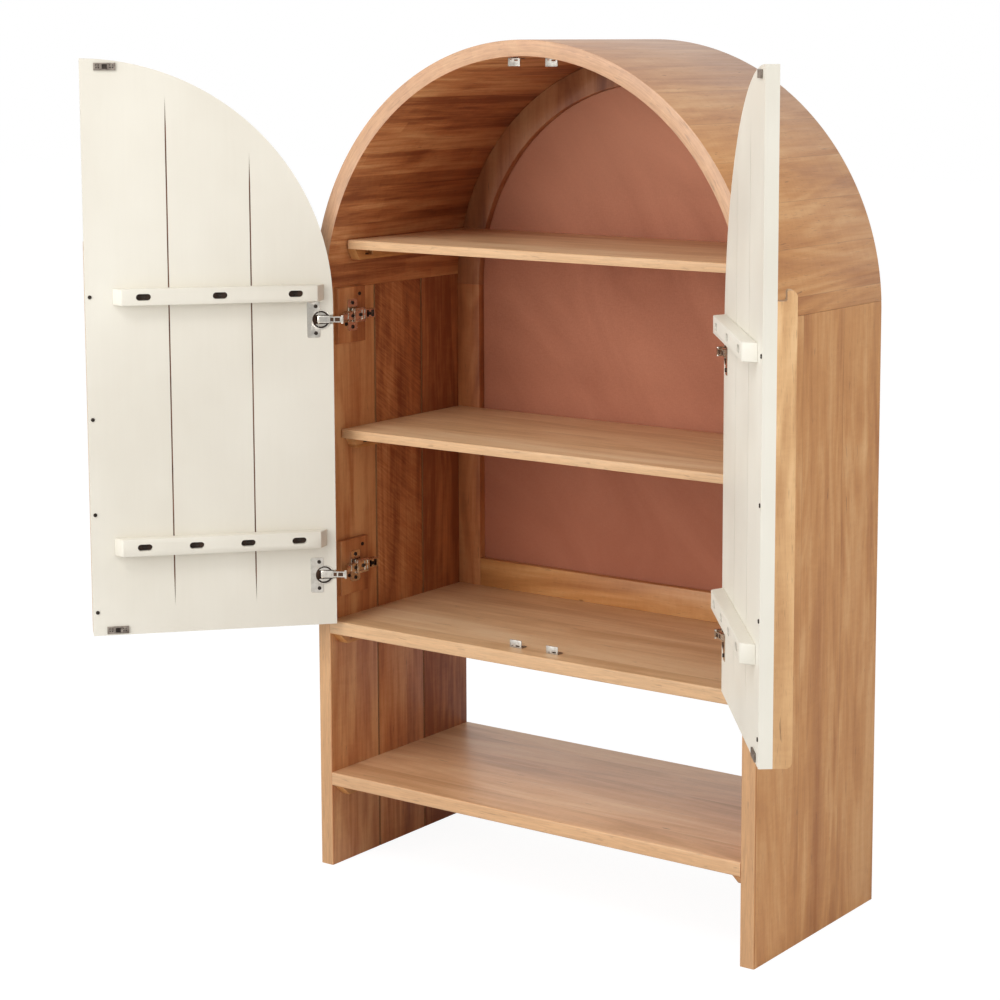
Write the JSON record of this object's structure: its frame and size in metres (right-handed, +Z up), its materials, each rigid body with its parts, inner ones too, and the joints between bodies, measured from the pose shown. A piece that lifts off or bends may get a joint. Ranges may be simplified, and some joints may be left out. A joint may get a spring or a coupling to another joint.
{
  "type": "arched two-door cabinet",
  "caption": "Tall arched wooden cabinet with two painted quarter-arch doors on wide-angle hinges, inner shelves and an open bay below.",
  "frame": {"origin": "centre of the case's footprint, on the floor", "axes": "+X to the viewer's right from the front, +Y towards the back, +Z up; the doors stand open as in the rest pose"},
  "size_m": [1.4595, 0.7685, 1.524],
  "materials": {
    "case_wood": "satin oiled",
    "cream_paint": "satin painted",
    "back_board": "matte",
    "hinge_nickel": "polished nickel",
    "pale_steel": "satin",
    "dark_steel": "dark plated"
  },
  "bodies": {
    "case": {"arch_staves": "case_wood", "back_arch_rail": "case_wood", "back_bottom_rail": "case_wood", "back_panel": "back_board", "block_screws": "dark_steel", "bottom_shelf": "case_wood", "bottom_shelf_cleats": "case_wood", "bottom_strike_plates": "pale_steel", "cabinet_floor": "case_wood", "cabinet_floor_cleats": "case_wood", "cleat_screws": "dark_steel", "hinge_plate_screws": "pale_steel", "left_arm_pins": "hinge_nickel", "left_back_stile": "case_wood", "left_hinge_arms": "hinge_nickel", "left_hinge_blocks": "case_wood", "left_mounting_plates": "pale_steel", "left_side_panel": "case_wood", "middle_shelf": "case_wood", "middle_shelf_cleats": "case_wood", "right_arm_pins": "hinge_nickel", "right_back_stile": "case_wood", "right_hinge_arms": "hinge_nickel", "right_hinge_blocks": "case_wood", "right_mounting_plates": "pale_steel", "right_side_panel": "case_wood", "strike_screws": "dark_steel", "top_shelf": "case_wood", "top_shelf_cleats": "case_wood", "top_strike_plates": "pale_steel"},
    "left_arm_link": {"left_arm_links": "hinge_nickel", "left_knuckle_pins": "hinge_nickel"},
    "left_cup_link": {"left_cup_links": "hinge_nickel"},
    "left_door": {"left_door_panel": "cream_paint", "left_upper_batten": "cream_paint", "left_lower_batten": "cream_paint", "left_batten_screws": "dark_steel", "left_pull": "case_wood", "left_pull_screws": "dark_steel", "left_catch_plates": "dark_steel", "left_hinge_cups": "hinge_nickel", "left_cup_screws": "pale_steel", "left_cup_pins": "hinge_nickel"},
    "right_arm_link": {"right_arm_links": "hinge_nickel", "right_knuckle_pins": "hinge_nickel"},
    "right_cup_link": {"right_cup_links": "hinge_nickel"},
    "right_door": {"right_door_panel": "cream_paint", "right_upper_batten": "cream_paint", "right_lower_batten": "cream_paint", "right_batten_screws": "dark_steel", "right_pull": "case_wood", "right_pull_screws": "dark_steel", "right_catch_plates": "dark_steel", "right_hinge_cups": "hinge_nickel", "right_cup_screws": "pale_steel", "right_cup_pins": "hinge_nickel"}
  },
  "joints": [
    {"name": "left_door_swing", "type": "hinge", "parent": "left_cup_link", "child": "left_door", "pos_m": [-0.43252, -0.23669, 0.79275], "axis": [0, 0, -1], "range_deg": [-111.13, 2.27]},
    {"name": "left_arm_pivot", "type": "hinge", "parent": "case", "child": "left_arm_link", "pos_m": [-0.4209, -0.1804, 0.79275], "axis": [0, 0, -1], "range_deg": [-83.75, 2.1]},
    {"name": "left_knuckle_pivot", "type": "hinge", "parent": "left_arm_link", "child": "left_cup_link", "pos_m": [-0.39486, -0.21374, 0.79275], "axis": [0, 0, 1], "range_deg": [-62.58, 1.67]},
    {"name": "right_door_swing", "type": "hinge", "parent": "right_cup_link", "child": "right_door", "pos_m": [0.4309, -0.23597, 0.79275], "axis": [0, 0, 1], "range_deg": [-107.94, 5.46]},
    {"name": "right_arm_pivot", "type": "hinge", "parent": "case", "child": "right_arm_link", "pos_m": [0.4209, -0.1804, 0.79275], "axis": [0, 0, 1], "range_deg": [-81.36, 4.5]},
    {"name": "right_knuckle_pivot", "type": "hinge", "parent": "right_arm_link", "child": "right_cup_link", "pos_m": [0.39349, -0.21262, 0.79275], "axis": [0, 0, -1], "range_deg": [-60.8, 3.46]}
  ],
  "couplings": [
    {"joint": "left_arm_pivot", "follows": "left_door_swing", "ratio": 0.75},
    {"joint": "left_knuckle_pivot", "follows": "left_door_swing", "ratio": 0.55952},
    {"joint": "right_arm_pivot", "follows": "right_door_swing", "ratio": 0.75},
    {"joint": "right_knuckle_pivot", "follows": "right_door_swing", "ratio": 0.55952}
  ]
}
